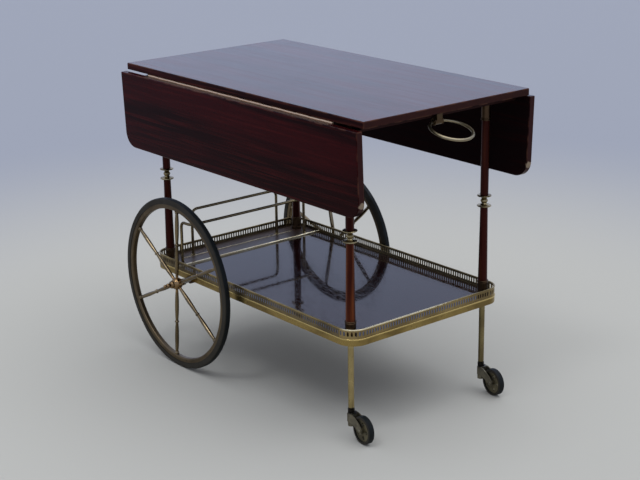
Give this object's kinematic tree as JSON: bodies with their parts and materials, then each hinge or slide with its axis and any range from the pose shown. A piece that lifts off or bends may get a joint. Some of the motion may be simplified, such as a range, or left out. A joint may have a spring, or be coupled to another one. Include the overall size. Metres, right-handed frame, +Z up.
{
  "type": "drop leaf tea trolley",
  "caption": "Mahogany and brass tea trolley with hanging leaves on pull-out slides, a galleried tray with bottle rack, large spoked wheels, swivel casters and a ring handle.",
  "frame": {"origin": "on the floor under the middle of the bounding box", "axes": "+X to the caster and handle end, -Y to the near leaf, +Z up"},
  "size_m": [0.9431, 0.5772, 0.725],
  "materials": {
    "mahogany": "polished lacquer",
    "rail_wood": "satin",
    "dark_lacquer": "high gloss lacquer",
    "bay_wood": "satin",
    "aged_brass": "tarnished",
    "bright_brass": "polished, worn",
    "dark_bronze": "dark patina",
    "steel": "plain",
    "black_rubber": "matt"
  },
  "bodies": {
    "frame": {"top_board": "mahogany", "hinge_near": "aged_brass", "hinge_far": "aged_brass", "frame_screws": "aged_brass", "cross_rail_front": "rail_wood", "cross_rail_rear": "rail_wood", "runner_front": "rail_wood", "runner_rear": "rail_wood", "handle_bracket": "bright_brass", "column_upper_front_near": "mahogany", "column_upper_front_far": "mahogany", "column_upper_rear_near": "mahogany", "column_upper_rear_far": "mahogany", "column_lower_front_near": "mahogany", "column_lower_front_far": "mahogany", "column_lower_rear_near": "mahogany", "column_lower_rear_far": "mahogany", "column_collars": "aged_brass", "column_caps": "aged_brass", "column_bases": "aged_brass", "tie_rods": "steel", "tray_core": "rail_wood", "serving_panel": "dark_lacquer", "bottle_floor": "bay_wood", "tray_strips": "aged_brass", "tray_band": "bright_brass", "gallery_front": "bright_brass", "gallery_rear": "bright_brass", "gallery_near": "bright_brass", "gallery_far": "bright_brass", "gallery_corners": "bright_brass", "gallery_rail": "bright_brass", "rack_hoop": "aged_brass", "rack_guard": "aged_brass", "rack_feet": "aged_brass", "axle": "steel", "axle_brackets": "aged_brass", "axle_finials": "aged_brass", "leg_near": "bright_brass", "leg_far": "bright_brass"},
    "near_leaf": {"leaf_near": "mahogany", "leaf_hinge_near": "aged_brass"},
    "near_slides": {"slides_near": "rail_wood"},
    "near_wheel": {"wheel_tyre_near": "black_rubber", "wheel_rim_near": "aged_brass", "wheel_spider_near": "aged_brass"},
    "near_swivel": {"caster_fork_near": "dark_bronze"},
    "near_roller": {"roller_disc_near": "dark_bronze", "roller_tyre_near": "black_rubber"},
    "far_leaf": {"leaf_far": "mahogany", "leaf_hinge_far": "aged_brass"},
    "far_slides": {"slides_far": "rail_wood"},
    "far_wheel": {"wheel_tyre_far": "black_rubber", "wheel_rim_far": "aged_brass", "wheel_spider_far": "aged_brass"},
    "far_swivel": {"caster_fork_far": "dark_bronze"},
    "far_roller": {"roller_disc_far": "dark_bronze", "roller_tyre_far": "black_rubber"},
    "ring": {"ring_handle": "bright_brass"}
  },
  "joints": [
    {"name": "near_leaf_hinge", "type": "hinge", "parent": "frame", "child": "near_leaf", "pos_m": [-0.01507, -0.2405, 0.7067], "axis": [-1, 0, 0], "range_deg": [0, 92]},
    {"name": "near_slides_pull", "type": "slide", "parent": "frame", "child": "near_slides", "axis": [0, -1, 0], "range_m": [0, 0.18]},
    {"name": "near_wheel_spin", "type": "hinge", "parent": "frame", "child": "near_wheel", "pos_m": [-0.26006, -0.25, 0.2115], "axis": [0, 1, 0], "continuous": true},
    {"name": "near_caster_swivel", "type": "hinge", "parent": "frame", "child": "near_swivel", "pos_m": [0.32793, -0.2, 0.066], "axis": [0, 0, 1], "continuous": true},
    {"name": "near_roller_spin", "type": "hinge", "parent": "near_swivel", "child": "near_roller", "pos_m": [0.37428, -0.20487, 0.0314], "axis": [0.1045, 0.9945, 0], "continuous": true},
    {"name": "far_leaf_hinge", "type": "hinge", "parent": "frame", "child": "far_leaf", "pos_m": [-0.01507, 0.2405, 0.7067], "axis": [1, 0, 0], "range_deg": [0, 92]},
    {"name": "far_slides_pull", "type": "slide", "parent": "frame", "child": "far_slides", "axis": [0, 1, 0], "range_m": [0, 0.18]},
    {"name": "far_wheel_spin", "type": "hinge", "parent": "frame", "child": "far_wheel", "pos_m": [-0.26006, 0.25, 0.2115], "axis": [0, 1, 0], "continuous": true},
    {"name": "far_caster_swivel", "type": "hinge", "parent": "frame", "child": "far_swivel", "pos_m": [0.32793, 0.2, 0.066], "axis": [0, 0, 1], "continuous": true},
    {"name": "far_roller_spin", "type": "hinge", "parent": "far_swivel", "child": "far_roller", "pos_m": [0.37428, 0.19513, 0.0314], "axis": [0.1045, 0.9945, 0], "continuous": true},
    {"name": "ring_swing", "type": "hinge", "parent": "frame", "child": "ring", "pos_m": [0.38033, 0, 0.6832], "axis": [0, 1, 0], "range_deg": [-15.5, 74.5]}
  ],
  "couplings": [
    {"joint": "near_slides_pull", "follows": "near_leaf_hinge", "m_per_rad": 0.1121},
    {"joint": "far_slides_pull", "follows": "far_leaf_hinge", "m_per_rad": 0.1121}
  ]
}
